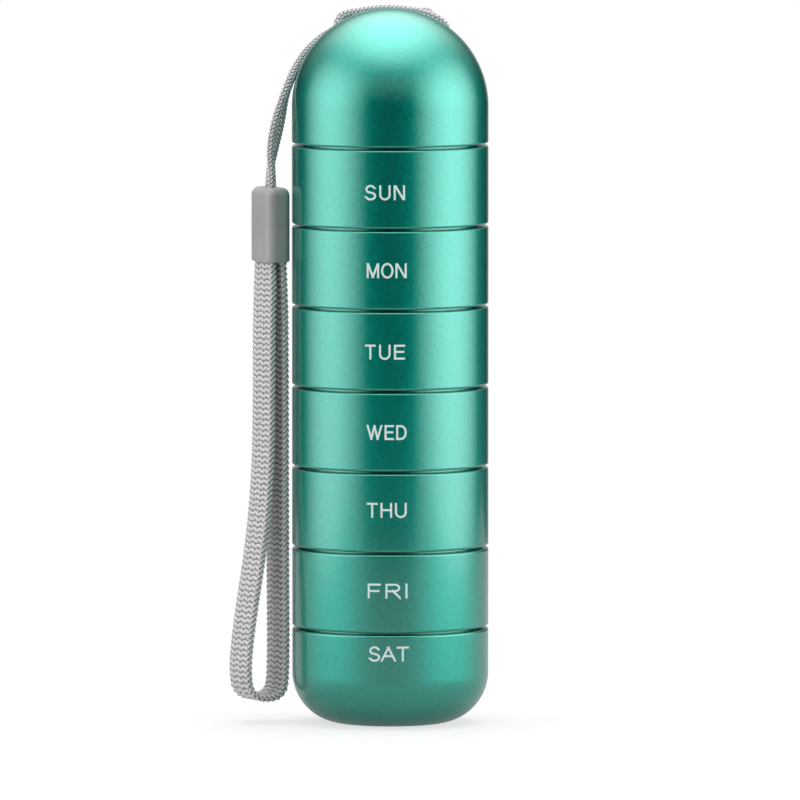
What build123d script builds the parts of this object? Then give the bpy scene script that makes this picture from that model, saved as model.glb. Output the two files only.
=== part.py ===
from build123d import *
import os
from math import cos, pi, radians, sin, sqrt, tan

# Weekly stacking pill capsule: seven screw-together cups, a domed cap and a wrist strap.
# Millimetres. Origin at the middle of the flat base, +Z up, the lettered front faces -Y.

# ---- driving dimensions -------------------------------------------------------------------

outer_diameter = 40.0
edge_chamfer = 0.45          # broken edges above and below every seam
skirt_wall = 1.1             # of an upper piece, outside its thread
thread_clearance = 0.7       # radial, between the roots of two threads that meet
neck_wall = 0.9              # between a neck's thread and its cavity

day_body_height = 15.9       # a weekday cup, from its lower edge to its shoulder
base_body_height = 19.4      # the rounded Saturday cup, from the table to its shoulder
base_corner_radius = 10.4
base_floor_thickness = 3.0
base_cavity_radius = 6.5     # round at the bottom of the Saturday cavity

neck_height = 5.0            # threaded neck above the shoulder
relief_height = 1.4          # plain groove at the foot of the thread
relief_depth = 0.25
rim_chamfer = 0.25
cavity_floor_radius = 0.8
floor_thickness = 1.6
lead_in = 0.35

seam_gap = 0.5               # stays open at each seam, because the gasket stops the thread
gasket_thickness = 0.8
gasket_width = 2.1
gasket_clearance = 0.2       # radial, between a gasket and the thread that it lies in

cap_skirt_height = 7.4       # straight part of the cap, below its hemisphere
dome_wall = 1.8
dome_bore_step = 1.2         # from the dome's inside in to the straight bore below it
liner_thickness = 1.6
liner_overlap = 1.0          # ledge that the liner is pushed against
liner_clearance = 0.05
liner_dish_depth = 0.5
liner_dish_margin = 3.0

cord_hole_diameter = 4.5
cord_hole_round = 0.5
cord_hole_polar = 38.0       # degrees from the top of the dome
right_hole_azimuth = 46.0    # degrees from +X towards the back
left_hole_azimuth = 154.0

cord_diameter = 1.6
cord_half_pitch = 0.85       # from the middle of the doubled cord to each strand

bead_width = 9.4
bead_depth = 5.3
bead_height = 15.2
bead_corner_radius = 1.75
bead_top_radius = 1.7        # well rounded where the cord goes in
bead_bottom_radius = 0.4
bead_distance = 4.35         # from the cups' wall to the middle of the bead
bead_setback = 1.5           # from the middle of the tower towards the back
bead_drop = 31.7             # from the middle of the dome down to the bead's lower edge
bead_turn = -63.0            # degrees from +X to the bead's wide direction
bead_pocket_height = 10.0
bead_pocket_width = 8.2
bead_pocket_depth = 4.0
bead_pocket_corner = 0.5
bead_slot_clearance = 0.15   # round the two strands in the top of the bead

crimp_width = 6.4
crimp_depth = 2.6
crimp_height = 3.6
crimp_round = 0.5
crimp_inset = 0.4            # below the top of the bead's pocket

band_width = 8.6
band_thickness = 1.2
band_gathered_width = 7.8    # where the two ends of the band go up into the bead
band_gather_height = 6.0
band_leg_pitch = 2.4         # between the middles of the two legs, inside the bead
band_bottom_z = 4.4

# ---- levels that follow ---------------------------------------------------------------------

outer_radius = outer_diameter / 2
recess_radius = outer_radius - skirt_wall
neck_radius = recess_radius - thread_clearance
cavity_radius = neck_radius - neck_wall
recess_depth = neck_height - seam_gap + gasket_thickness
stack_pitch = day_body_height + seam_gap
first_seam_z = base_body_height + seam_gap

weekdays_upwards = ["friday", "thursday", "wednesday", "tuesday", "monday", "sunday"]
cup_z = {day: first_seam_z + stack_pitch * step for step, day in enumerate(weekdays_upwards)}
cap_z = first_seam_z + stack_pitch * len(weekdays_upwards)
dome_centre = Vector(0, 0, cap_z + cap_skirt_height)

os.makedirs("parts", exist_ok=True)


def neck_outline(shoulder_z):
    """Points of a threaded neck in section, from its foot on the shoulder up to the rim's inner edge."""
    rim_z = shoulder_z + neck_height
    groove_z = shoulder_z + relief_height
    return [
        (neck_radius - relief_depth, shoulder_z),
        (neck_radius - relief_depth, groove_z),
        (neck_radius, groove_z + relief_depth),
        (neck_radius, rim_z - rim_chamfer),
        (neck_radius - rim_chamfer, rim_z),
        (cavity_radius + rim_chamfer, rim_z),
        (cavity_radius, rim_z - rim_chamfer),
    ]


def save(part, name):
    """Label a finished piece and write it under its own name."""
    part.label = name
    export_step(part, f"parts/{name}.step")


# ---- Saturday: the rounded cup that the tower stands on ---------------------------------------

with BuildPart() as cup_saturday:
    with BuildSketch(Plane.XZ):
        with BuildLine():
            flat_radius = outer_radius - base_corner_radius
            foot = Line((0, 0), (flat_radius, 0))
            corner = CenterArc((flat_radius, base_corner_radius), base_corner_radius, -90, 90)
            wall = Polyline(
                corner @ 1,
                (outer_radius, base_body_height - edge_chamfer),
                (outer_radius - edge_chamfer, base_body_height),
                *neck_outline(base_body_height),
                (cavity_radius, base_floor_thickness + base_cavity_radius),
            )
            bowl = CenterArc(
                (cavity_radius - base_cavity_radius, base_floor_thickness + base_cavity_radius),
                base_cavity_radius, 0, -90,
            )
            Polyline(bowl @ 1, (0, base_floor_thickness), (0, 0))
        make_face()
    revolve(axis=Axis.Z)
save(cup_saturday.part, "cup_saturday")

# ---- Friday to Sunday: six like cups, each one the lid of the cup below -----------------------

for day, foot_z in cup_z.items():
    shoulder_z = foot_z + day_body_height
    roof_z = foot_z + recess_depth
    floor_z = roof_z + floor_thickness
    with BuildPart() as cup:
        with BuildSketch(Plane.XZ):
            with BuildLine():
                skin = Polyline(
                    (0, roof_z),
                    (recess_radius, roof_z),
                    (recess_radius, foot_z + lead_in),
                    (recess_radius + lead_in, foot_z),
                    (outer_radius - edge_chamfer, foot_z),
                    (outer_radius, foot_z + edge_chamfer),
                    (outer_radius, shoulder_z - edge_chamfer),
                    (outer_radius - edge_chamfer, shoulder_z),
                    *neck_outline(shoulder_z),
                    (cavity_radius, floor_z + cavity_floor_radius),
                )
                round_in = CenterArc(
                    (cavity_radius - cavity_floor_radius, floor_z + cavity_floor_radius),
                    cavity_floor_radius, 0, -90,
                )
                Polyline(round_in @ 1, (0, floor_z), (0, roof_z))
            make_face()
        revolve(axis=Axis.Z)
    save(cup.part, f"cup_{day}")

# ---- gaskets: one flat silicone ring in the roof of every recess, pressed by the rim below ----

gasket_radius = recess_radius - gasket_clearance
for piece, foot_z in {**cup_z, "cap": cap_z}.items():
    with BuildPart() as gasket:
        with BuildSketch(Plane.XY.offset(foot_z + recess_depth - gasket_thickness)):
            Circle(gasket_radius)
            Circle(gasket_radius - gasket_width, mode=Mode.SUBTRACT)
        extrude(amount=gasket_thickness)
    save(gasket.part, f"gasket_{piece}")

# ---- domed cap: straight threaded skirt, hollow hemisphere, two holes for the cord --------------

right_way = Vector(0, 0, 1).rotate(Axis.Y, cord_hole_polar).rotate(Axis.Z, right_hole_azimuth)
left_way = Vector(0, 0, 1).rotate(Axis.Y, cord_hole_polar).rotate(Axis.Z, left_hole_azimuth)
ledge_z = cap_z + recess_depth + liner_thickness
dome_inner_radius = outer_radius - dome_wall
dome_bore_radius = dome_inner_radius - dome_bore_step
liner_seat_radius = dome_bore_radius + liner_overlap
dome_z = dome_centre.Z
bore_top_z = dome_z + sqrt(dome_inner_radius**2 - dome_bore_radius**2)

with BuildPart() as dome_cap:
    with BuildSketch(Plane.XZ):
        with BuildLine():
            skirt = Polyline(
                (dome_bore_radius, bore_top_z),
                (dome_bore_radius, ledge_z),
                (liner_seat_radius, ledge_z),
                (liner_seat_radius, cap_z + recess_depth),
                (recess_radius, cap_z + recess_depth),
                (recess_radius, cap_z + lead_in),
                (recess_radius + lead_in, cap_z),
                (outer_radius - edge_chamfer, cap_z),
                (outer_radius, cap_z + edge_chamfer),
                (outer_radius, dome_z),
            )
            CenterArc((0, dome_z), outer_radius, 0, 90)
            Line((0, dome_z + outer_radius), (0, dome_z + dome_inner_radius))
            RadiusArc((0, dome_z + dome_inner_radius), skirt @ 0, dome_inner_radius)
        make_face()
    revolve(axis=Axis.Z)
    for way in (right_way, left_way):
        with BuildSketch(Plane(origin=dome_centre + way * outer_radius, z_dir=way)):
            Circle(cord_hole_diameter / 2)
        extrude(amount=outer_radius / 2, both=True, mode=Mode.SUBTRACT)
    hole_rims = [
        edge
        for edge in dome_cap.edges().filter_by(lambda edge: edge.geom_type != GeomType.LINE)
        if edge.length < cord_hole_diameter * 4
        and (edge.center() - dome_centre).length > dome_inner_radius + dome_wall / 2
    ]
    fillet(hole_rims, cord_hole_round)
save(dome_cap.part, "dome_cap")

# ---- cap liner: moulded disc pushed up to the ledge, closes Sunday's cup below the cord holes ----

with BuildPart() as cap_liner:
    with BuildSketch(Plane.XY.offset(cap_z + recess_depth)):
        Circle(liner_seat_radius - liner_clearance)
    extrude(amount=liner_thickness)
    with BuildSketch(Plane.XY.offset(ledge_z)):
        Circle(dome_bore_radius - liner_dish_margin)
    extrude(amount=-liner_dish_depth, mode=Mode.SUBTRACT)
    dish_edge = cap_liner.edges().filter_by(GeomType.CIRCLE).group_by(Axis.Z)[-2]
    fillet(dish_edge, liner_dish_depth / 2)
save(cap_liner.part, "cap_liner")

# ---- strap cord: one thin braided cord, doubled and hitched through the two holes ------------------

hole_spread = right_way.get_angle(left_way)
over_way = (left_way - right_way * cos(radians(hole_spread))).normalized()
rear_way = -right_way.cross(left_way).normalized()


def over_dome(angle, height, aside):
    """A point at that angle from the right hole towards the left one, so high above the dome's skin and aside."""
    along = right_way * cos(radians(angle)) + over_way * sin(radians(angle))
    radius = outer_radius + height
    return dome_centre + along * sqrt(radius**2 - aside**2) + rear_way * aside


def beside_dome(out, back, drop):
    """A point of the free stretch, so far out from the tower's left side and back and down from the dome's middle."""
    return dome_centre + Vector(-outer_radius - out, back, -drop)


bead_bottom_z = dome_centre.Z - bead_drop
bead_plane = Plane(
    origin=(-outer_radius - bead_distance, bead_setback, bead_bottom_z),
    x_dir=Vector(1, 0, 0).rotate(Axis.Z, bead_turn),
    z_dir=(0, 0, 1),
)
crimp_top = bead_pocket_height - crimp_inset
front_end = bead_plane.from_local_coords(Vector(cord_half_pitch, 0, crimp_top))
rear_end = bead_plane.from_local_coords(Vector(-cord_half_pitch, 0, crimp_top))
above_bead = Vector(0, 0, 8.0)

cord_route = [
    # front strand, from the crimp in the bead up to the dome
    front_end,
    front_end + above_bead,
    beside_dome(3.7, 0.5, 7.5),
    beside_dome(2.6, 0.3, 2),
    # over the back of the dome and down through the right hole
    over_dome(108, 1.6, 2.55),
    over_dome(95, 1.2, 2.85),
    over_dome(81, 1.15, 3.15),
    over_dome(67, 1.15, 3.4),
    over_dome(53, 1.15, 3.6),
    over_dome(39, 1.15, 3.75),
    over_dome(27, 1.4, 3.8),
    over_dome(17, 2.4, 3.5),
    over_dome(9.5, 3.1, 2.1),
    over_dome(3.6, 2.9, -0.35),
    over_dome(0, 0.5, -0.85),
    # under the dome and out through the left hole
    over_dome(0, -3.8, -0.85),
    over_dome(30, -5, -0.85),
    over_dome(60, -3.8, -0.85),
    over_dome(59.2, -0.2, -0.85),
    over_dome(54.8, 1.8, -0.85),
    # back over the dome, round the two strands at the right hole, and return
    over_dome(44, 1.15, -0.85),
    over_dome(31, 1.15, -0.9),
    over_dome(18.5, 1.15, -1.3),
    over_dome(8, 1.2, -2.4),
    over_dome(-1.5, 1.2, -2.85),
    over_dome(-7.3, 1.2, -1.25),
    over_dome(-7.3, 1.2, 1.25),
    over_dome(-1.5, 1.2, 2.85),
    over_dome(8, 1.2, 2.4),
    over_dome(18.5, 1.15, 1.3),
    over_dome(31, 1.15, 0.9),
    over_dome(44, 1.15, 0.85),
    over_dome(54.8, 1.8, 0.85),
    over_dome(59.2, -0.2, 0.85),
    # under the dome again, out through the right hole and over the back to the left side
    over_dome(60, -3.8, 0.85),
    over_dome(30, -5, 0.85),
    over_dome(0, -3.8, 0.85),
    over_dome(0, 0.5, 0.85),
    over_dome(1.4, 3.2, 1.6),
    over_dome(6, 3.1, 3.7),
    over_dome(14, 2.3, 5.1),
    over_dome(26, 1.4, 5.5),
    over_dome(39, 1.15, 5.45),
    over_dome(53, 1.15, 5.3),
    over_dome(67, 1.15, 5.1),
    over_dome(81, 1.15, 4.85),
    over_dome(95, 1.2, 4.55),
    over_dome(108, 1.6, 4.25),
    # rear strand, down to the crimp in the bead
    beside_dome(1.9, 2.1, 3),
    beside_dome(3.2, 2.3, 8.5),
    rear_end + above_bead,
    rear_end,
]


def bend_radii(route):
    """The largest arc at each point that leaves a tenth of the shorter run straight."""
    radii = []
    for before, here, after in zip(route, route[1:], route[2:]):
        turn = (here - before).get_angle(after - here)
        radii.append(0.45 * min((here - before).length, (after - here).length) / tan(radians(turn / 2)))
    return radii


cord_radii = bend_radii(cord_route)
with BuildPart() as strap_cord:
    with BuildLine() as cord_line:
        FilletPolyline(*cord_route, radius=cord_radii)
    with BuildSketch(Plane(origin=cord_line.wire() @ 0, z_dir=cord_line.wire() % 0)):
        Circle(cord_diameter / 2)
    sweep()
save(strap_cord.part, "strap_cord")
cord_length = cord_line.wire().length
tube_volume = pi * (cord_diameter / 2) ** 2 * cord_length
print("cord radii:", " ".join(f"{radius:.1f}" for radius in cord_radii))
print(f"cord length {cord_length:.1f}, volume share {strap_cord.part.volume / tube_volume:.4f}")

# ---- bead: moulded sleeve that hides the joint between cord and band --------------------------------

with BuildPart() as strap_bead:
    with BuildSketch(bead_plane):
        RectangleRounded(bead_width, bead_depth, bead_corner_radius)
    extrude(amount=bead_height)
    fillet(strap_bead.faces().sort_by(Axis.Z)[-1].edges(), bead_top_radius)
    fillet(strap_bead.faces().sort_by(Axis.Z)[0].edges(), bead_bottom_radius)
    with BuildSketch(bead_plane):
        RectangleRounded(bead_pocket_width, bead_pocket_depth, bead_pocket_corner)
    extrude(amount=bead_pocket_height, mode=Mode.SUBTRACT)
    with BuildSketch(bead_plane):
        SlotCenterToCenter(2 * cord_half_pitch, cord_diameter + 2 * bead_slot_clearance)
    extrude(amount=bead_height, mode=Mode.SUBTRACT)
save(strap_bead.part, "strap_bead")

# ---- crimp: pressed clamp inside the bead, cord ends above it and band ends below -------------------

crimp_bottom = crimp_top - crimp_height
with BuildPart() as strap_crimp:
    with BuildSketch(bead_plane.offset(crimp_bottom)):
        RectangleRounded(crimp_width, crimp_depth, crimp_round)
    extrude(amount=crimp_height)
save(strap_crimp.part, "strap_crimp")

# ---- band: flat woven loop, its two ends gathered into the bead -------------------------------------

band_plane = Plane(origin=bead_plane.origin, x_dir=bead_plane.y_dir, z_dir=bead_plane.x_dir)
inner_leg = band_leg_pitch / 2
outer_leg = -band_leg_pitch / 2
band_bend_z = band_bottom_z + band_thickness / 2 - bead_bottom_z
band_route = [
    # inner leg, from the crimp in the bead down beside the cups
    (inner_leg, crimp_bottom),
    (inner_leg, -3.6),
    (1.4, -11.0),
    (1.5, -35.0),
    (1.6, -62.0),
    (1.75, band_bend_z + 5.5),
    # the end of the loop
    (1.0, band_bend_z),
    (-6.0, band_bend_z),
    (-7.2, band_bend_z + 6.0),
    # outer leg, which stands off below and comes back to the bead
    (-5.6, -71.0),
    (-3.45, -60.0),
    (-1.5, -46.0),
    (-0.85, -31.0),
    (-0.85, -11.0),
    (outer_leg, -3.6),
    (outer_leg, crimp_bottom),
]
band_radii = bend_radii([Vector(along, up, 0) for along, up in band_route])
with BuildPart() as strap_band:
    with BuildLine(band_plane) as band_line:
        FilletPolyline(*band_route, radius=band_radii)
    with BuildSketch(Plane(origin=band_line.wire() @ 0, x_dir=bead_plane.x_dir, z_dir=band_line.wire() % 0)):
        Rectangle(band_width, band_thickness)
    sweep()
    for side in (1, -1):
        with BuildSketch(Plane(origin=bead_plane.origin, x_dir=bead_plane.x_dir * side, z_dir=bead_plane.y_dir * -side)):
            with BuildLine():
                Polyline(
                    (band_width / 2, -band_gather_height),
                    (band_gathered_width / 2, 0),
                    (band_gathered_width / 2, crimp_top),
                    (band_width, crimp_top),
                    (band_width, -band_gather_height),
                    close=True,
                )
            make_face()
        extrude(amount=bead_depth, both=True, mode=Mode.SUBTRACT)
save(strap_band.part, "strap_band")
print("band radii:", " ".join(f"{radius:.1f}" for radius in band_radii))
print(f"band length {band_line.wire().length:.1f}")
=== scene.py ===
import math

import bmesh
import bpy
from mathutils import Matrix, Vector


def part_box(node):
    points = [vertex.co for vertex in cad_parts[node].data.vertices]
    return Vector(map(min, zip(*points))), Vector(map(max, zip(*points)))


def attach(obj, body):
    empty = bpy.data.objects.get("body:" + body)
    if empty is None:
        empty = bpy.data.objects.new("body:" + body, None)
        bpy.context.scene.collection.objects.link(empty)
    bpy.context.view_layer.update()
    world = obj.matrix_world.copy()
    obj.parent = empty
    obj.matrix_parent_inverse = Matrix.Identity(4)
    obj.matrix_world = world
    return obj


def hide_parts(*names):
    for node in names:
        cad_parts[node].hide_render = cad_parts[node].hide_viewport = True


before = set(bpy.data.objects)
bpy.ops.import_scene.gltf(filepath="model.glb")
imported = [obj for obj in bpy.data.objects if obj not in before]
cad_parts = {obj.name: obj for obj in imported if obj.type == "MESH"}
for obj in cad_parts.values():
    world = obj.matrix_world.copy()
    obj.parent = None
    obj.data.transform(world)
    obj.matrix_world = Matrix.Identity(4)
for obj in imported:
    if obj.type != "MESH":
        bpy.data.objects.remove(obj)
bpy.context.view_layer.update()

# ---- Saturday cup -------------------------------------------------------------------------
# The bottom cup, turned from aluminium bar, bead-blasted and anodised green. Its base is
# rounded down to a small foot, and its neck is cut with a fine single thread. All metal
# pieces are spun from half a section, and the ridges of the thread are wound on afterwards.

MM = 0.001
OUTER = 20.0
EDGE = 0.45
NECK = 18.2
NECK_RIDGE = 18.52
NECK_HEIGHT = 5.0
RELIEF_HEIGHT = 1.4
RELIEF_DEPTH = 0.25
RIM_EDGE = 0.25
BORE = 17.3
PITCH = 0.8
RIDGE_ROOT_HALF = 0.36
RIDGE_CREST_HALF = 0.1
RIDGE_SUNK = 0.05
RIDGE_START = 0.6
NECK_TURNS = 3.2
EDGE_SUPPORT = 0.05
BASE_CORNER = 10.4
BASE_FLOOR = 3.0
BASE_BOWL = 6.5
SIDES = 144


def arc(centre_r, centre_z, radius, start, end, steps=14):
    """Points of a round in a half section, in degrees from the outward direction."""
    turns = [math.radians(start + (end - start) * k / steps) for k in range(steps + 1)]
    return [(centre_r + radius * math.cos(a), centre_z + radius * math.sin(a)) for a in turns]


def spun(section, softened=0.06):
    """A closed turned body from half a section in millimetres, its corners slightly broken."""
    bm = bmesh.new()
    points = [bm.verts.new((r * MM, 0, z * MM)) for r, z in section]
    lines = [bm.edges.new(pair) for pair in zip(points, points[1:])]
    if softened:
        corners = []
        for before, here, after in zip(points, points[1:], points[2:]):
            turn = (here.co - before.co).angle(after.co - here.co)
            if turn > math.radians(25):
                corners.append(here)
        bmesh.ops.bevel(bm, geom=corners, offset=softened * MM, offset_type="OFFSET", affect="VERTICES",
                        segments=2, profile=0.5, material=-1)
        lines = list(bm.edges)
        points = list(bm.verts)
    bmesh.ops.spin(bm, geom=points + lines, axis=(0, 0, 1), cent=(0, 0, 0), angle=2 * math.pi,
                   steps=SIDES, use_merge=True)
    bmesh.ops.remove_doubles(bm, verts=bm.verts, dist=1e-7)
    bmesh.ops.recalc_face_normals(bm, faces=bm.faces)
    return bm


def wind_thread(body, root, crest, start_z, turns):
    """Adds the ridge of a thread, from its root to its crest, climbing one pitch each turn."""
    steps = round(60 * turns)
    corners = [(root, -RIDGE_ROOT_HALF), (crest, -RIDGE_CREST_HALF),
               (crest, RIDGE_CREST_HALF), (root, RIDGE_ROOT_HALF)]
    bm = bmesh.new()
    ring = [bm.verts.new((r * MM, 0, (start_z + z) * MM)) for r, z in corners]
    lines = [bm.edges.new((ring[k], ring[(k + 1) % 4])) for k in range(4)]
    made = bmesh.ops.spin(bm, geom=ring + lines, axis=(0, 0, 1), cent=(0, 0, 0), angle=2 * math.pi * turns,
                          steps=steps, dvec=(0, 0, PITCH * turns / steps * MM))
    last = [item for item in made["geom_last"] if isinstance(item, bmesh.types.BMEdge)]
    bmesh.ops.holes_fill(bm, edges=lines + last, sides=4)
    bmesh.ops.recalc_face_normals(bm, faces=bm.faces)
    ridge = bpy.data.meshes.new("ridge")
    bm.to_mesh(ridge)
    bm.free()
    body.from_mesh(ridge)
    bpy.data.meshes.remove(ridge)


def rounded_foot(foot):
    """Half section of the rounded lower edge of a wall, and of the wall just above it."""
    return [*arc(OUTER - EDGE, foot + EDGE, EDGE, -90, 0, 8), (OUTER, foot + EDGE + EDGE_SUPPORT)]


def rounded_shoulder(shoulder):
    """Half section of the wall just below its rounded upper edge, and of that edge."""
    return [(OUTER, shoulder - EDGE - EDGE_SUPPORT), *arc(OUTER - EDGE, shoulder - EDGE, EDGE, 0, 90, 8)]


def neck_section(shoulder):
    """Half section of a neck, from its foot on the shoulder to the inner edge of its rim."""
    rim = shoulder + NECK_HEIGHT
    return [
        (NECK - RELIEF_DEPTH, shoulder),
        (NECK - RELIEF_DEPTH, shoulder + RELIEF_HEIGHT),
        (NECK, shoulder + RELIEF_HEIGHT + RELIEF_DEPTH),
        (NECK, rim - RIM_EDGE),
        (NECK - RIM_EDGE, rim),
        (BORE + RIM_EDGE, rim),
        (BORE, rim - RIM_EDGE),
    ]


def finished(bm, name, body, materials, node=None, smooth_angle=12):
    """Turns a worked mesh into a piece of the object that rides on its body."""
    mesh = bpy.data.meshes.new(name)
    bm.to_mesh(mesh)
    bm.free()
    mesh.polygons.foreach_set("use_smooth", [True] * len(mesh.polygons))
    mesh.set_sharp_from_angle(angle=math.radians(smooth_angle))
    piece = bpy.data.objects.new(name, mesh)
    bpy.context.scene.collection.objects.link(piece)
    for material in materials:
        mesh.materials.append(material)
    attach(piece, body)
    if node:
        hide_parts(node)
    return piece


def node_tree(name):
    """An empty material with its shader, its output's links and object coordinates at hand."""
    material = bpy.data.materials.new(name)
    material.use_nodes = True
    nodes, links = material.node_tree.nodes, material.node_tree.links
    shader = nodes["Principled BSDF"]
    where = nodes.new("ShaderNodeTexCoord").outputs["Object"]
    return material, nodes, links, shader, where


def noise(nodes, links, where, scale, detail=2.0, rough=0.5):
    """A noise field on the piece, its scale in grains to the metre."""
    field = nodes.new("ShaderNodeTexNoise")
    field.inputs["Scale"].default_value = scale
    field.inputs["Detail"].default_value = detail
    field.inputs["Roughness"].default_value = rough
    links.new(where, field.inputs["Vector"])
    return field.outputs["Fac"]


def ramp(nodes, links, value, *stops):
    """A colour ramp through (position, colour) stops."""
    band = nodes.new("ShaderNodeValToRGB")
    while len(band.color_ramp.elements) < len(stops):
        band.color_ramp.elements.new(0.5)
    for element, (position, colour) in zip(band.color_ramp.elements, stops):
        element.position = position
        element.color = (*colour, 1)
    links.new(value, band.inputs["Fac"])
    return band.outputs["Color"]


def bump(nodes, links, shader, height, strength, distance):
    """Relief on the shader's normal, its distance in metres."""
    relief = nodes.new("ShaderNodeBump")
    relief.inputs["Strength"].default_value = strength
    relief.inputs["Distance"].default_value = distance
    links.new(height, relief.inputs["Height"])
    links.new(relief.outputs["Normal"], shader.inputs["Normal"])


def anodised_green():
    """Satin anodised aluminium: green metal under a clear oxide skin, with the grain of its blasting."""
    material, nodes, links, shader, where = node_tree("anodised_green")
    grain = noise(nodes, links, where, 1600, detail=4, rough=0.7)
    colour = ramp(nodes, links, grain, (0.3, (0.0009, 0.34, 0.26)), (0.7, (0.0013, 0.46, 0.355)))
    links.new(colour, shader.inputs["Base Color"])
    dull = ramp(nodes, links, grain, (0.3, (0.36,) * 3), (0.7, (0.44,) * 3))
    links.new(dull, shader.inputs["Roughness"])
    shader.inputs["Metallic"].default_value = 1.0
    shader.inputs["Coat Weight"].default_value = 1.0
    shader.inputs["Coat IOR"].default_value = 1.9
    shader.inputs["Coat Roughness"].default_value = 0.12
    bump(nodes, links, shader, grain, 0.8, 0.00006)
    return material


green = anodised_green()
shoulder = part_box("cup_saturday")[1].z / MM - NECK_HEIGHT
section = [(0, 0), *arc(OUTER - BASE_CORNER, BASE_CORNER, BASE_CORNER, -90, 0, 40),
           *rounded_shoulder(shoulder), *neck_section(shoulder),
           *arc(BORE - BASE_BOWL, BASE_FLOOR + BASE_BOWL, BASE_BOWL, 0, -90, 20),
           (0, BASE_FLOOR)]
bm = spun(section)
wind_thread(bm, NECK - RIDGE_SUNK, NECK_RIDGE, shoulder + RELIEF_HEIGHT + RIDGE_START, NECK_TURNS)
finished(bm, "saturday_cup", "saturday", [green], "cup_saturday")

# ---- Friday to Sunday cups ------------------------------------------------------------------
# Six like cups above it. Each is threaded outside on its neck and inside in the recess under
# its floor, so that it is the lid of the cup below and the base of the one above.

RECESS = 18.9
RECESS_RIDGE = 18.58
RECESS_DEPTH = 5.3
ROOF_GAP = 0.02
RECESS_TURNS = 3.4
LEAD_IN = 0.35
FLOOR = 1.6
FLOOR_ROUND = 0.8
DAYS = ["friday", "thursday", "wednesday", "tuesday", "monday", "sunday"]

for day in DAYS:
    low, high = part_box(f"cup_{day}")
    foot = low.z / MM
    shoulder = high.z / MM - NECK_HEIGHT
    roof = foot + RECESS_DEPTH + ROOF_GAP
    floor = foot + RECESS_DEPTH + FLOOR
    section = [(0, roof), (RECESS, roof), (RECESS, foot + LEAD_IN), (RECESS + LEAD_IN, foot),
               *rounded_foot(foot), *rounded_shoulder(shoulder), *neck_section(shoulder),
               *arc(BORE - FLOOR_ROUND, floor + FLOOR_ROUND, FLOOR_ROUND, 0, -90, 10),
               (0, floor)]
    bm = spun(section)
    wind_thread(bm, NECK - RIDGE_SUNK, NECK_RIDGE, shoulder + RELIEF_HEIGHT + RIDGE_START, NECK_TURNS)
    wind_thread(bm, RECESS + RIDGE_SUNK, RECESS_RIDGE, foot + LEAD_IN + RIDGE_START, RECESS_TURNS)
    finished(bm, f"{day}_cup", day, [green], f"cup_{day}")

# ---- weekday letters --------------------------------------------------------------------------
# One word on the front of each cup, printed in white ink. Each letter is drawn with strokes of
# one width, cut level at head and foot, and the word is laid round the cup's curve.

LETTER_HEIGHT = 3.02
STROKE = 0.41
WORD_WIDTH = 8.15
INK = 0.03
INK_LAYER = 0.004
STRIP = 0.35


def bow(middle_x, middle_y, wide, high, start, end, steps=14):
    """Points of a round stroke, from one angle to another."""
    turns = [math.radians(start + (end - start) * k / steps) for k in range(steps + 1)]
    return [(middle_x + wide * math.cos(a), middle_y + high * math.sin(a)) for a in turns]


# Strokes of each letter in a box of one by one, along the middle of the ink
STROKES = {
    "A": [[(0, 0), (0.5, 1)], [(1, 0), (0.5, 1)], [(0.2, 0.34), (0.8, 0.34)]],
    "D": [[(0, 0), (0, 1)], [(0, 1), *bow(0.42, 0.5, 0.58, 0.5, 90, -90), (0, 0)]],
    "E": [[(0, 0), (0, 1)], [(0, 1), (1, 1)], [(0, 0.52), (0.92, 0.52)], [(0, 0), (1, 0)]],
    "F": [[(0, 0), (0, 1)], [(0, 1), (1, 1)], [(0, 0.5), (0.88, 0.5)]],
    "H": [[(0, 0), (0, 1)], [(1, 0), (1, 1)], [(0, 0.52), (1, 0.52)]],
    "I": [[(0.5, 0), (0.5, 1)]],
    "M": [[(0, 0), (0, 1)], [(0.05, 1), (0.5, 0)], [(0.95, 1), (0.5, 0)], [(1, 0), (1, 1)]],
    "N": [[(0, 0), (0, 1)], [(0.1, 1), (0.9, 0)], [(1, 0), (1, 1)]],
    "O": [bow(0.5, 0.5, 0.5, 0.53, 0, 360, 32)],
    "R": [[(0, 0), (0, 1)], [(0, 1), *bow(0.62, 0.745, 0.34, 0.255, 90, -90), (0, 0.49)],
          [(0.5, 0.49), (1, 0)]],
    "S": [[*bow(0.5, 0.755, 0.45, 0.265, 25, 230), *bow(0.49, 0.24, 0.51, 0.265, 50, -155)]],
    "T": [[(0.5, 0), (0.5, 1)], [(0, 1), (1, 1)]],
    "U": [[(0, 1), *bow(0.5, 0.34, 0.5, 0.36, 180, 360), (1, 1)]],
    "W": [[(0, 1), (0.27, 0)], [(0.5, 1), (0.27, 0)], [(0.5, 1), (0.73, 0)], [(1, 1), (0.73, 0)]],
}
# Each cup's word, as letters with their widths, and where its middle is beside and above the tower's foot
WORDS = {
    "sunday": ((("S", 2.3), ("U", 2.3), ("N", 2.3)), -1.05, 109.3),
    "monday": ((("M", 2.55), ("O", 2.5), ("N", 2.3)), -0.7, 93.5),
    "tuesday": ((("T", 2.2), ("U", 2.35), ("E", 2.25)), -1.05, 77.0),
    "wednesday": ((("W", 3.2), ("E", 1.9), ("D", 2.15)), -0.7, 60.7),
    "thursday": ((("T", 2.25), ("H", 2.35), ("U", 2.4)), -0.7, 44.9),
    "friday": ((("F", 2.7), ("R", 3.1), ("I", 0.5)), -0.5, 28.5),
    "saturday": ((("S", 2.3), ("A", 3.05), ("T", 2.5)), -0.25, 15.7),
}


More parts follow.
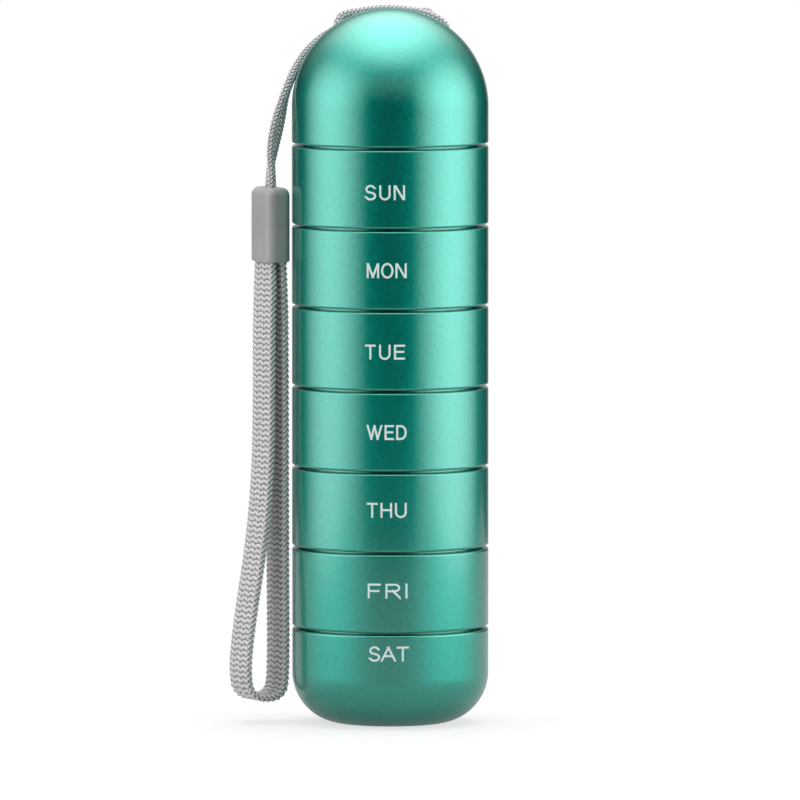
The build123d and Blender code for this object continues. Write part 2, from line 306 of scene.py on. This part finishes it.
def white_ink():
    """Matt white ink, a little uneven where it covers the grain."""
    material, nodes, links, shader, where = node_tree("white_ink")
    cover = noise(nodes, links, where, 4000)
    cover = ramp(nodes, links, cover, (0.2, (0.76, 0.97, 0.93)), (0.6, (0.84, 0.99, 0.96)))
    links.new(cover, shader.inputs["Base Color"])
    shader.inputs["Roughness"].default_value = 0.55
    return material


def level_end(here, before):
    """Carries a stroke past its last point by half its width, and gives the step across its end there."""
    way = (here - before).normalized()
    if abs(way.y) > abs(way.x):
        reach = STROKE / 2 / abs(way.y)
        return here + way * reach, Vector((reach, 0))
    reach = STROKE / 2 / abs(way.x)
    return here + way * reach, Vector((0, reach))


def draw_stroke(bm, points, level):
    """One stroke of ink as a flat ribbon of faces, at its level above the print's lowest layer."""
    closed = (points[0] - points[-1]).length < 0.01
    rungs = []
    for k, here in enumerate(points):
        before = points[k - 1] if k else points[-2]
        after = points[k + 1] if k < len(points) - 1 else points[1]
        if closed or 0 < k < len(points) - 1:
            way_in, way_out = (here - before).normalized(), (after - here).normalized()
            across = Vector((-way_in.y - way_out.y, way_in.x + way_out.x)).normalized()
            reach = STROKE / 2 / max(0.5, across.dot(Vector((-way_in.y, way_in.x))))
            rungs.append((here + across * reach, here - across * reach))
            continue
        inner = after if k == 0 else before
        tip, across = level_end(here, inner)
        outward = here - inner
        if (across.x * outward.y - across.y * outward.x) * (1 if k == 0 else -1) < 0:
            across = -across
        rungs.append((tip + across, tip - across))
    corners = [[bm.verts.new((place.x, level, place.y)) for place in rung] for rung in rungs]
    for (left, right), (next_left, next_right) in zip(corners, corners[1:]):
        bm.faces.new((left, right, next_right, next_left))


def word_on_cup(letters, middle_x, middle_z):
    """The letters of a word as a thin skin of ink on the front of a cup."""
    gap = (WORD_WIDTH - sum(width for _, width in letters)) / (len(letters) - 1)
    left = middle_x - WORD_WIDTH / 2
    bm = bmesh.new()
    for letter, width in letters:
        for layer, stroke in enumerate(STROKES[letter]):
            points = []
            for x, y in stroke:
                points.append(Vector((
                    left + STROKE / 2 + x * (width - STROKE),
                    middle_z - LETTER_HEIGHT / 2 + STROKE / 2 + y * (LETTER_HEIGHT - STROKE))))
            draw_stroke(bm, points, layer * INK_LAYER)
        left += width + gap
    cut = middle_x - WORD_WIDTH / 2
    while cut < middle_x + WORD_WIDTH / 2:
        bmesh.ops.bisect_plane(bm, geom=bm.verts[:] + bm.edges[:] + bm.faces[:], plane_co=(cut, 0, 0),
                               plane_no=(1, 0, 0))
        cut += STRIP
    for v in bm.verts:
        v.co.y += INK
    raised = bmesh.ops.extrude_face_region(bm, geom=bm.faces[:])
    for item in raised["geom"]:
        if isinstance(item, bmesh.types.BMVert):
            item.co.y = -INK
    for v in bm.verts:
        turn = v.co.x / OUTER
        out = (OUTER + v.co.y) * MM
        v.co = (out * math.sin(turn), -out * math.cos(turn), v.co.z * MM)
    bmesh.ops.recalc_face_normals(bm, faces=bm.faces)
    return bm


ink = white_ink()
for day in ["saturday", *DAYS]:
    piece = finished(word_on_cup(*WORDS[day]), f"{day}_letters", day, [ink])

# ---- domed cap ------------------------------------------------------------------------------
# The cap screws on to the Sunday cup. A short straight skirt runs into a hemisphere, and two
# round-edged holes behind the crown take the cord.

SKIRT = 7.4
DOME_WALL = 1.8
DOME_BORE = 17.0
LINER_SEAT = 18.0
HOLE = 2.25
HOLE_ROUND = 0.5
HOLE_SAG = 0.12
HOLE_POLAR = 38.0
RIGHT_HOLE = 46.0
LEFT_HOLE = 154.0

low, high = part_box("dome_cap")
foot = low.z / MM
dome_z = foot + SKIRT
roof = foot + RECESS_DEPTH + ROOF_GAP
ledge = foot + RECESS_DEPTH + FLOOR
dome_inside = OUTER - DOME_WALL
bore_top = math.sqrt(dome_inside**2 - DOME_BORE**2)
inner_start = math.degrees(math.atan2(bore_top, DOME_BORE))
section = [*arc(0, dome_z, dome_inside, 90, inner_start, 30), (DOME_BORE, ledge), (LINER_SEAT, ledge),
           (LINER_SEAT, roof), (RECESS, roof), (RECESS, foot + LEAD_IN),
           (RECESS + LEAD_IN, foot), *rounded_foot(foot), *arc(0, dome_z, OUTER, 0, 90, 48)]


def towards(polar, azimuth):
    """The direction from the dome's middle at those angles from the top and from the right."""
    p, a = math.radians(polar), math.radians(azimuth)
    return Vector((math.sin(p) * math.cos(a), math.sin(p) * math.sin(a), math.cos(p)))


def hole_cutter(way):
    """The shape of a cord hole: a straight bore that flares to the rounded rim."""
    flare = []
    for degrees in range(0, 91, 9):
        a = math.radians(degrees)
        flare.append((HOLE + HOLE_ROUND * (1 - math.cos(a)),
                      OUTER - HOLE_SAG - HOLE_ROUND * (1 - math.sin(a))))
    bm = bmesh.new()
    outline = [(0, OUTER - 4), (HOLE, OUTER - 4), *flare, (HOLE + HOLE_ROUND, OUTER + 2), (0, OUTER + 2)]
    points = [bm.verts.new((r * MM, 0, z * MM)) for r, z in outline]
    lines = [bm.edges.new(pair) for pair in zip(points, points[1:])]
    bmesh.ops.spin(bm, geom=points + lines, axis=(0, 0, 1), cent=(0, 0, 0), angle=2 * math.pi,
                   steps=48, use_merge=True)
    bmesh.ops.remove_doubles(bm, verts=bm.verts, dist=1e-7)
    bmesh.ops.recalc_face_normals(bm, faces=bm.faces)
    turn = Vector((0, 0, 1)).rotation_difference(way).to_matrix().to_4x4()
    bmesh.ops.transform(bm, matrix=Matrix.Translation((0, 0, dome_z * MM)) @ turn, verts=bm.verts)
    mesh = bpy.data.meshes.new("hole_cutter")
    bm.to_mesh(mesh)
    bm.free()
    return bpy.data.objects.new("hole_cutter", mesh)


right_way, left_way = towards(HOLE_POLAR, RIGHT_HOLE), towards(HOLE_POLAR, LEFT_HOLE)
bm = spun(section)
mesh = bpy.data.meshes.new("dome_blank")
bm.to_mesh(mesh)
bm.free()
blank = bpy.data.objects.new("dome_blank", mesh)
bpy.context.scene.collection.objects.link(blank)
cutters = [hole_cutter(way) for way in (right_way, left_way)]
for cutter in cutters:
    bpy.context.scene.collection.objects.link(cutter)
    cut = blank.modifiers.new("hole", "BOOLEAN")
    cut.operation = "DIFFERENCE"
    cut.solver = "EXACT"
    cut.object = cutter
bpy.context.view_layer.update()
drilled = bpy.data.meshes.new_from_object(blank.evaluated_get(bpy.context.evaluated_depsgraph_get()))
for spare in [blank, *cutters]:
    bpy.data.objects.remove(spare)
bm = bmesh.new()
bm.from_mesh(drilled)
bpy.data.meshes.remove(drilled)
wind_thread(bm, RECESS + RIDGE_SUNK, RECESS_RIDGE, foot + LEAD_IN + RIDGE_START, RECESS_TURNS)
finished(bm, "domed_cap", "cap", [green], "dome_cap")

# ---- gaskets and cap liner --------------------------------------------------------------------
# Flat rings of pale silicone lie in the roof of each recess, and a moulded white disc closes
# the cap below the cord holes. They keep their worked-out shapes and get their own finishes.


def moulded(name, colour, darker, roughness, grain):
    """A moulded plastic or rubber: faint clouding and a fine mould texture."""
    material, nodes, links, shader, where = node_tree(name)
    cloud = noise(nodes, links, where, 180)
    links.new(ramp(nodes, links, cloud, (0.3, darker), (0.7, colour)), shader.inputs["Base Color"])
    shader.inputs["Roughness"].default_value = roughness
    bump(nodes, links, shader, noise(nodes, links, where, grain), 0.2, 0.00002)
    return material


silicone = moulded("silicone", (0.76, 0.77, 0.75), (0.68, 0.69, 0.67), 0.6, 3000)
liner = moulded("liner_plastic", (0.84, 0.84, 0.82), (0.79, 0.79, 0.77), 0.45, 2500)
for node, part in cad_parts.items():
    if node.startswith("gasket"):
        part.data.materials.clear()
        part.data.materials.append(silicone)
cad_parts["cap_liner"].data.materials.clear()
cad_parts["cap_liner"].data.materials.append(liner)

# ---- strap cord -----------------------------------------------------------------------------
# One braided polyester cord, doubled. Both ends are clamped in the bead; the doubled cord runs
# over the back of the dome, down one hole, up the other, and loops round itself.

CORD = 1.6
CORD_PAIR = 0.85
BEAD_DISTANCE = 4.35
BEAD_SETBACK = 1.5
BEAD_DROP = 31.7
BEAD_TURN = -63.0
CRIMP_TOP = 9.6

dome_middle = Vector((0, 0, dome_z))
hole_spread = right_way.angle(left_way)
over_way = (left_way - right_way * math.cos(hole_spread)).normalized()
rear_way = -right_way.cross(left_way).normalized()
bead_side = Matrix.Rotation(math.radians(BEAD_TURN), 3, "Z") @ Vector((1, 0, 0))
bead_inward = Vector((0, 0, 1)).cross(bead_side)
bead_bottom = dome_z - BEAD_DROP
bead_middle = Vector((-OUTER - BEAD_DISTANCE, BEAD_SETBACK, bead_bottom))


def over_dome(angle, height, aside):
    """A point at that angle from the right hole towards the left, so high above the skin and aside."""
    along = right_way * math.cos(math.radians(angle)) + over_way * math.sin(math.radians(angle))
    return dome_middle + along * math.sqrt((OUTER + height)**2 - aside**2) + rear_way * aside


def beside_dome(out, back, drop):
    """A point so far out from the tower's left side, and back and down from the dome's middle."""
    return dome_middle + Vector((-OUTER - out, back, -drop))


front_end = bead_middle + bead_side * CORD_PAIR + Vector((0, 0, CRIMP_TOP))
rear_end = bead_middle - bead_side * CORD_PAIR + Vector((0, 0, CRIMP_TOP))
above_bead = Vector((0, 0, 8.0))

cord_route = [
    # front strand, from the crimp in the bead up to the dome
    front_end,
    front_end + above_bead,
    beside_dome(4.5, 0.4, 9),
    beside_dome(3.5, 0.2, 3),
    # over the back of the dome and down through the right hole
    over_dome(108, 1.6, 2.55),
    over_dome(95, 1.2, 2.85),
    over_dome(81, 1.15, 3.15),
    over_dome(67, 1.15, 3.4),
    over_dome(53, 1.15, 3.6),
    over_dome(39, 1.15, 3.75),
    over_dome(27, 1.4, 3.8),
    over_dome(17, 2.4, 3.5),
    over_dome(9.5, 3.1, 2.1),
    over_dome(3.6, 2.9, -0.35),
    over_dome(0, 0.5, -0.85),
    # under the dome and out through the left hole
    over_dome(0, -3.8, -0.85),
    over_dome(30, -5, -0.85),
    over_dome(60, -3.8, -0.85),
    over_dome(59.2, -0.2, -0.85),
    over_dome(54.8, 1.8, -0.85),
    # back over the dome, round the two strands at the right hole, and return
    over_dome(44, 1.15, -0.85),
    over_dome(31, 1.15, -0.9),
    over_dome(18.5, 1.15, -1.3),
    over_dome(8, 1.2, -2.4),
    over_dome(-1.5, 1.2, -2.85),
    over_dome(-7.3, 1.2, -1.25),
    over_dome(-7.3, 1.2, 1.25),
    over_dome(-1.5, 1.2, 2.85),
    over_dome(8, 1.2, 2.4),
    over_dome(18.5, 1.15, 1.3),
    over_dome(31, 1.15, 0.9),
    over_dome(44, 1.15, 0.85),
    over_dome(54.8, 1.8, 0.85),
    over_dome(59.2, -0.2, 0.85),
    # under the dome again, out through the right hole and over the back to the left side
    over_dome(60, -3.8, 0.85),
    over_dome(30, -5, 0.85),
    over_dome(0, -3.8, 0.85),
    over_dome(0, 0.5, 0.85),
    over_dome(1.4, 3.2, 1.6),
    over_dome(6, 3.1, 3.7),
    over_dome(14, 2.3, 5.1),
    over_dome(26, 1.4, 5.5),
    over_dome(39, 1.15, 5.45),
    over_dome(53, 1.15, 5.3),
    over_dome(67, 1.15, 5.1),
    over_dome(81, 1.15, 4.85),
    over_dome(95, 1.2, 4.55),
    over_dome(108, 1.6, 4.25),
    # rear strand, down to the crimp in the bead
    beside_dome(2.2, 2.2, 3.5),
    beside_dome(3.7, 2.5, 9.5),
    rear_end + above_bead,
    rear_end,
]


def smooth_line(route, tube=0.0):
    """The mesh of a spline with the route's points as its controls: a line, or a tube along it."""
    curve = bpy.data.curves.new("line", "CURVE")
    curve.dimensions = "3D"
    curve.resolution_u = 10
    if tube:
        curve.bevel_depth = tube * MM
        curve.bevel_resolution = 3
        curve.use_fill_caps = True
    spline = curve.splines.new("NURBS")
    spline.points.add(len(route) - 1)
    for control, place in zip(spline.points, route):
        control.co = (*(place * MM), 1)
    spline.order_u = 3
    spline.use_endpoint_u = True
    holder = bpy.data.objects.new("line", curve)
    bpy.context.scene.collection.objects.link(holder)
    bpy.context.view_layer.update()
    mesh = bpy.data.meshes.new_from_object(holder.evaluated_get(bpy.context.evaluated_depsgraph_get()))
    bpy.data.objects.remove(holder)
    return mesh


class Lay:
    """Places along a line: at a distance, the point there and a steady set of axes."""

    def __init__(self, points, up):
        self.points = points
        self.reach = [0.0]
        for here, there in zip(points, points[1:]):
            self.reach.append(self.reach[-1] + (there - here).length)
        self.length = self.reach[-1]
        self.ways = []
        for k in range(len(points)):
            way = (points[min(k + 1, len(points) - 1)] - points[max(k - 1, 0)]).normalized()
            up = (up - way * up.dot(way)).normalized()
            self.ways.append((way, up.copy()))

    def at(self, distance):
        low, high = 0, len(self.reach) - 1
        while high - low > 1:
            middle = (low + high) // 2
            if self.reach[middle] <= distance:
                low = middle
            else:
                high = middle
        share = (distance - self.reach[low]) / (self.reach[high] - self.reach[low])
        way = self.ways[low][0].lerp(self.ways[high][0], share).normalized()
        up = self.ways[low][1].lerp(self.ways[high][1], share)
        up = (up - way * up.dot(way)).normalized()
        return self.points[low].lerp(self.points[high], share), way, up, way.cross(up)


def pillow():
    """The corners and faces of one raised stitch of a braid, a small ball drawn out along X."""
    bm = bmesh.new()
    bmesh.ops.create_uvsphere(bm, u_segments=6, v_segments=4, radius=1.0,
                              matrix=Matrix.Rotation(math.pi / 2, 4, "Y"))
    bm.verts.index_update()
    corners = [v.co.copy() for v in bm.verts]
    faces = [[v.index for v in face.verts] for face in bm.faces]
    bm.free()
    return corners, faces


PILLOW, PILLOW_FACES = pillow()


def lay_stitches(bm, stitches):
    """Lays pillows on a braid, each with its place, its three sizes and its three directions."""
    corners, faces = [], []
    for place, (length, width, height), (along, across, out) in stitches:
        first = len(corners)
        long, wide, thick = along * length / 2, across * width / 2, out * height / 2
        corners += [place + long * c.x + wide * c.y + thick * c.z for c in PILLOW]
        faces += [[first + k for k in face] for face in PILLOW_FACES]
    mesh = bpy.data.meshes.new("stitches")
    mesh.from_pydata(corners, [], faces)
    mesh.polygons.foreach_set("material_index", [1] * len(mesh.polygons))
    bm.from_mesh(mesh)
    bpy.data.meshes.remove(mesh)


def braided_polyester(name, light, dark, scale):
    """Filament yarn with fine threads in it: pale for the stitches, and dark grey as painted shade for a
    core that shows between them.
    """
    material, nodes, links, shader, where = node_tree(name)
    fibre = noise(nodes, links, where, scale, detail=3, rough=0.6)
    links.new(ramp(nodes, links, fibre, (0.25, dark), (0.6, light)), shader.inputs["Base Color"])
    shader.inputs["Roughness"].default_value = 0.62
    shader.inputs["Sheen Weight"].default_value = 0.25
    bump(nodes, links, shader, fibre, 0.4, 0.00003)
    return material


cord_yarn = braided_polyester("cord_yarn", (0.86, 0.84, 0.86), (0.60, 0.58, 0.60), 3600)
# The cord's core is dark grey: painted shade for the gaps between the braid's stitches.
cord_shade_paint = braided_polyester("cord_core_painted_shade", (0.34, 0.33, 0.34), (0.16, 0.16, 0.16), 3600)
line_mesh = smooth_line(cord_route)
cord_points = [v.co.copy() for v in line_mesh.vertices]
cord_lay = Lay(cord_points, Vector((0, 1, 0)))
bm = bmesh.new()
bm.from_mesh(smooth_line(cord_route, tube=CORD / 2 - 0.16))
COLUMNS = 6
STITCH_PITCH = 0.86
CORD_STITCH = (1.08 * MM, 0.54 * MM, 0.36 * MM)
CORD_STITCH_SUNK = 0.13
CORD_SLANT = 38
stitches = []
for row in range(int(cord_lay.length / MM / STITCH_PITCH)):
    for column in range(COLUMNS):
        distance = (row + 0.5 + 0.5 * (column % 2)) * STITCH_PITCH * MM
        place, way, up, side = cord_lay.at(min(distance, cord_lay.length))
        turn = 2 * math.pi * column / COLUMNS
        out = up * math.cos(turn) + side * math.sin(turn)
        round_way = side * math.cos(turn) - up * math.sin(turn)
        slant = math.radians(CORD_SLANT if column % 2 else -CORD_SLANT)
        along = way * math.cos(slant) + round_way * math.sin(slant)
        across = round_way * math.cos(slant) - way * math.sin(slant)
        stitches.append((place + out * (CORD / 2 - CORD_STITCH_SUNK) * MM, CORD_STITCH,
                         (along, across, -out)))
lay_stitches(bm, stitches)
cord = finished(bm, "braided_cord", "cap", [cord_shade_paint, cord_yarn], "strap_cord", smooth_angle=180)

# ---- bead -------------------------------------------------------------------------------------
# A moulded plastic sleeve hides the joint between cord and band. Its top is well rounded, its
# lower edge nearly sharp, and the two strands and the band's ends go into its slots.

bead_plastic = moulded("bead_plastic", (0.44, 0.44, 0.45), (0.40, 0.40, 0.41), 0.38, 1800)
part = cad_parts["strap_bead"]
part.data.materials.clear()
part.data.materials.append(bead_plastic)

# ---- crimp ----------------------------------------------------------------------------------------
# A pressed metal clamp inside the bead holds the cord's ends and the band's ends together.


def tinned_steel():
    """Pressed steel with a dull tinned skin."""
    material, nodes, links, shader, where = node_tree("tinned_steel")
    cloud = noise(nodes, links, where, 900)
    colour = ramp(nodes, links, cloud, (0.3, (0.42, 0.42, 0.43)), (0.7, (0.56, 0.56, 0.57)))
    links.new(colour, shader.inputs["Base Color"])
    shader.inputs["Metallic"].default_value = 1.0
    shader.inputs["Roughness"].default_value = 0.42
    return material


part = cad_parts["strap_crimp"]
part.data.materials.clear()
part.data.materials.append(tinned_steel())

# ---- band -----------------------------------------------------------------------------------------
# A flat braided polyester band, folded into a loop, with both ends gathered into the bead. Five
# columns of slanted stitches lie on each face, and a rope of stitches closes each edge.

BAND = 8.6
BAND_THICK = 1.2
GATHERED = 7.8
GATHER_LENGTH = 6.0
LEG = 1.2
BAND_BOTTOM = 4.4
CRIMP_BOTTOM = 6.0
BAND_STRIP = 0.8
FACE_STITCH = (1.78, 0.86, 0.5)
FACE_STITCH_SUNK = 0.16
FACE_SLANT = 24
ROPE_STITCH = (1.5, 0.7, 0.8)
ROPE_STITCH_SUNK = 0.42
ROPE_SLANT = 38

band_bend = BAND_BOTTOM + BAND_THICK / 2 - bead_bottom
band_route = [
    # inner leg, from the crimp in the bead down beside the cups
    (LEG, CRIMP_BOTTOM),
    (LEG, -3.6),
    (1.5, -12.0),
    (1.55, -35.0),
    (1.6, -62.0),
    (1.75, band_bend + 5.5),
    # the end of the loop
    (1.0, band_bend),
    (-6.0, band_bend),
    (-7.2, band_bend + 6.0),
    # outer leg, which stands off below and comes back to the bead
    (-5.6, -71.0),
    (-3.6, -60.0),
    (-1.95, -46.0),
    (-1.52, -31.0),
    (-1.52, -13.0),
    (-LEG, -3.6),
    (-LEG, CRIMP_BOTTOM),
]
band_line = [bead_middle + bead_inward * inward + Vector((0, 0, up)) for inward, up in band_route]
line_mesh = smooth_line(band_line)
band_points = [v.co.copy() for v in line_mesh.vertices]
band_lay = Lay(band_points, bead_side)
length = band_lay.length / MM
bm = bmesh.new()
core = BAND_THICK - 0.34
shape = Matrix.Diagonal((length, BAND - 0.4, core, 1))
bmesh.ops.create_cube(bm, size=1.0, matrix=Matrix.Translation((length / 2, 0, 0)) @ shape)
cut = BAND_STRIP
while cut < length:
    bmesh.ops.bisect_plane(bm, geom=bm.verts[:] + bm.edges[:] + bm.faces[:], plane_co=(cut, 0, 0),
                           plane_no=(1, 0, 0))
    cut += BAND_STRIP
BAND_COLUMNS = 5
BAND_PITCH = 1.1
EDGE_WIDTH = 0.7
column_width = (BAND - 2 * EDGE_WIDTH) / BAND_COLUMNS
stitches = []
for row in range(int(length / BAND_PITCH)):
    for column in range(BAND_COLUMNS):
        along_band = min((row + 0.5) * BAND_PITCH, length - 0.5)
        aside = (column - (BAND_COLUMNS - 1) / 2) * column_width
        slant = math.radians(FACE_SLANT if column % 2 else -FACE_SLANT)
        for face in (1, -1):
            along = Vector((math.sin(slant), math.cos(slant), 0))
            across = Vector((math.cos(slant), -math.sin(slant), 0)) * face
            place = Vector((along_band, aside, face * (BAND_THICK / 2 - FACE_STITCH_SUNK)))
            stitches.append((place, FACE_STITCH, (along, across, Vector((0, 0, -face)))))
    for edge in (1, -1):
        for strand in (0, 0.5):
            slant = math.radians(ROPE_SLANT) * edge
            along = Vector((math.cos(slant), 0, math.sin(slant)))
            across = Vector((-math.sin(slant), 0, math.cos(slant)))
            lift = (strand - 0.25) * 0.9
            place = Vector(((row + strand) * BAND_PITCH, edge * (BAND / 2 - ROPE_STITCH_SUNK), lift))
            stitches.append((place, ROPE_STITCH, (along, across, Vector((0, -1, 0)))))
lay_stitches(bm, stitches)
for v in bm.verts:
    place, way, side, out = band_lay.at(min(max(v.co.x * MM, 0), band_lay.length))
    from_end = min(v.co.x, length - v.co.x)
    spread = min(max((from_end - CRIMP_BOTTOM) / GATHER_LENGTH, 0), 1)
    gather = GATHERED / BAND + (1 - GATHERED / BAND) * spread
    v.co = place + side * v.co.y * gather * MM + out * v.co.z * MM
band_yarn = braided_polyester("band_yarn", (0.88, 0.87, 0.88), (0.64, 0.63, 0.64), 3000)
# The band's core is dark grey: painted shade for the gaps between the braid's stitches.
band_core_painted_shade = braided_polyester("band_core_painted_shade", (0.36, 0.35, 0.36), (0.20, 0.19, 0.20), 3000)
band = finished(bm, "braided_band", "cap", [band_core_painted_shade, band_yarn], "strap_band", smooth_angle=180)

# ---- table, light and camera --------------------------------------------------------------------
# A pale table, two wide soft lamps beside the tower and one above it, and a long lens at the
# photograph's low angle. The paper glows less to metal than to the camera.

FLOOR_HALF = 0.4
PAPER_GREY = 0.5
PAPER_GLOW_SHARE = 0.4
PAPER_GLOW_SEEN = 1.68
PAPER_GLOW_MIRRORED = 0.45
bm = bmesh.new()
bmesh.ops.create_grid(bm, x_segments=1, y_segments=1, size=FLOOR_HALF)
mesh = bpy.data.meshes.new("table")
bm.to_mesh(mesh)
bm.free()
table = bpy.data.objects.new("table", mesh)
bpy.context.scene.collection.objects.link(table)
paper, nodes, links, shader, where = node_tree("paper")
shader.inputs["Base Color"].default_value = (PAPER_GREY, PAPER_GREY, PAPER_GREY, 1)
shader.inputs["Roughness"].default_value = 0.8
seen = nodes.new("ShaderNodeLightPath")
bright = nodes.new("ShaderNodeEmission")
bright.inputs["Color"].default_value = (1, 1, 1, 1)
strength = nodes.new("ShaderNodeMix")
strength.inputs["A"].default_value = PAPER_GLOW_MIRRORED
strength.inputs["B"].default_value = PAPER_GLOW_SEEN
links.new(seen.outputs["Is Camera Ray"], strength.inputs["Factor"])
links.new(strength.outputs["Result"], bright.inputs["Strength"])
mix = nodes.new("ShaderNodeMixShader")
share = nodes.new("ShaderNodeMath")
share.operation = "MULTIPLY"
share.inputs[1].default_value = PAPER_GLOW_SHARE
shown = nodes.new("ShaderNodeMath")
shown.operation = "MAXIMUM"
links.new(seen.outputs["Is Camera Ray"], shown.inputs[0])
links.new(seen.outputs["Is Glossy Ray"], shown.inputs[1])
links.new(shown.outputs["Value"], share.inputs[0])
links.new(share.outputs["Value"], mix.inputs["Fac"])
links.new(shader.outputs["BSDF"], mix.inputs[1])
links.new(bright.outputs["Emission"], mix.inputs[2])
links.new(mix.outputs["Shader"], nodes["Material Output"].inputs["Surface"])
mesh.materials.append(paper)

DARK_ROOM = 0.01
PALE_BACKDROP = 0.4
PALE_CEILING = 0.38
SOFT_FILL = 0.16


def studio_world():
    """White to the camera. Metal sees a dark room, with a pale backdrop behind the tower and a pale ceiling.

    Everything else has an even soft fill from it.
    """
    world = bpy.data.worlds.new("studio")
    world.use_nodes = True
    nodes, links = world.node_tree.nodes, world.node_tree.links
    path = nodes.new("ShaderNodeLightPath")
    way = nodes.new("ShaderNodeNewGeometry")
    turned = nodes.new("ShaderNodeVectorMath")
    turned.operation = "DOT_PRODUCT"
    turned.inputs[1].default_value = (0, -1, 0)
    links.new(way.outputs["Incoming"], turned.inputs[0])
    behind = nodes.new("ShaderNodeMapRange")
    behind.interpolation_type = "SMOOTHSTEP"
    behind.inputs["From Min"].default_value = 0.9
    behind.inputs["From Max"].default_value = 1.0
    behind.inputs["To Min"].default_value = DARK_ROOM
    behind.inputs["To Max"].default_value = PALE_BACKDROP
    links.new(turned.outputs["Value"], behind.inputs["Value"])
    upward = nodes.new("ShaderNodeVectorMath")
    upward.operation = "DOT_PRODUCT"
    upward.inputs[1].default_value = (0, 0, -1)
    links.new(way.outputs["Incoming"], upward.inputs[0])
    ceiling = nodes.new("ShaderNodeMapRange")
    ceiling.interpolation_type = "SMOOTHSTEP"
    ceiling.inputs["From Min"].default_value = 0.05
    ceiling.inputs["From Max"].default_value = 0.6
    ceiling.inputs["To Max"].default_value = PALE_CEILING
    links.new(upward.outputs["Value"], ceiling.inputs["Value"])
    room = nodes.new("ShaderNodeMath")
    room.operation = "MAXIMUM"
    links.new(behind.outputs["Result"], room.inputs[0])
    links.new(ceiling.outputs["Result"], room.inputs[1])
    mirrored = nodes.new("ShaderNodeMix")
    mirrored.inputs["A"].default_value = SOFT_FILL
    links.new(path.outputs["Is Glossy Ray"], mirrored.inputs["Factor"])
    links.new(room.outputs["Value"], mirrored.inputs["B"])
    seen = nodes.new("ShaderNodeMath")
    seen.operation = "MAXIMUM"
    links.new(path.outputs["Is Camera Ray"], seen.inputs[0])
    links.new(path.outputs["Is Transmission Ray"], seen.inputs[1])
    level = nodes.new("ShaderNodeMix")
    level.inputs["B"].default_value = 1.0
    links.new(seen.outputs["Value"], level.inputs["Factor"])
    links.new(mirrored.outputs["Result"], level.inputs["A"])
    links.new(level.outputs["Result"], nodes["Background"].inputs["Strength"])
    nodes["Background"].inputs["Color"].default_value = (1, 1, 1, 1)
    return world


bpy.context.scene.world = studio_world()
bpy.context.scene.world.cycles.sampling_method = "NONE"

MIDDLE = Vector((0.002, 0, 0.0658))


def looking(place, backward):
    """The placing of a lamp or camera that stands there and faces against that direction."""
    return Matrix.Translation(place) @ backward.to_track_quat("Z", "Y").to_matrix().to_4x4()


def soft_lamp(name, azimuth, elevation, distance, width, height, radiance):
    """A rectangular soft lamp that faces the tower, azimuth from the camera's side towards the right.

    Its face is brightest in the middle and fades out towards its edges.
    """
    light = bpy.data.lights.new(name, "AREA")
    light.shape = "RECTANGLE"
    light.size, light.size_y = width, height
    light.energy = radiance * math.pi * width * height
    light.use_nodes = True
    nodes, links = light.node_tree.nodes, light.node_tree.links
    face = nodes.new("ShaderNodeNewGeometry")
    split = nodes.new("ShaderNodeSeparateXYZ")
    links.new(face.outputs["Parametric"], split.inputs["Vector"])
    product = nodes.new("ShaderNodeMath")
    product.operation = "MULTIPLY"
    for side, axis in enumerate("XY"):
        inset = nodes.new("ShaderNodeMath")
        inset.operation = "PINGPONG"
        inset.inputs[1].default_value = 0.5
        links.new(split.outputs[axis], inset.inputs[0])
        fade = nodes.new("ShaderNodeMapRange")
        fade.interpolation_type = "SMOOTHSTEP"
        fade.inputs["From Max"].default_value = 0.5
        links.new(inset.outputs["Value"], fade.inputs["Value"])
        links.new(fade.outputs["Result"], product.inputs[side])
    links.new(product.outputs["Value"], nodes["Emission"].inputs["Strength"])
    lamp = bpy.data.objects.new(name, light)
    a, e = math.radians(azimuth), math.radians(elevation)
    way = Vector((math.sin(a) * math.cos(e), -math.cos(a) * math.cos(e), math.sin(e)))
    lamp.matrix_world = looking(MIDDLE + way * distance, way)
    bpy.context.scene.collection.objects.link(lamp)


soft_lamp("left_lamp", -73, 8, 0.9, 2.1, 2.0, 2.1)
soft_lamp("right_lamp", 76, 8, 0.9, 2.3, 2.0, 2.6)
soft_lamp("top_lamp", 180, 80, 0.9, 2.2, 2.8, 2.6)

ELEVATION = math.radians(4.3)
DISTANCE = 3.0
VIEW_WIDTH = 0.1629
lens = bpy.data.cameras.new("camera")
lens.sensor_width = 36.0
lens.lens = 36.0 * DISTANCE / VIEW_WIDTH
lens.clip_end = 20.0
camera = bpy.data.objects.new("camera", lens)
back = Vector((0, -math.cos(ELEVATION), math.sin(ELEVATION)))
camera.matrix_world = looking(MIDDLE + back * DISTANCE, back)
bpy.context.scene.collection.objects.link(camera)
bpy.context.scene.camera = camera
bpy.context.scene.view_settings.view_transform = "Standard"
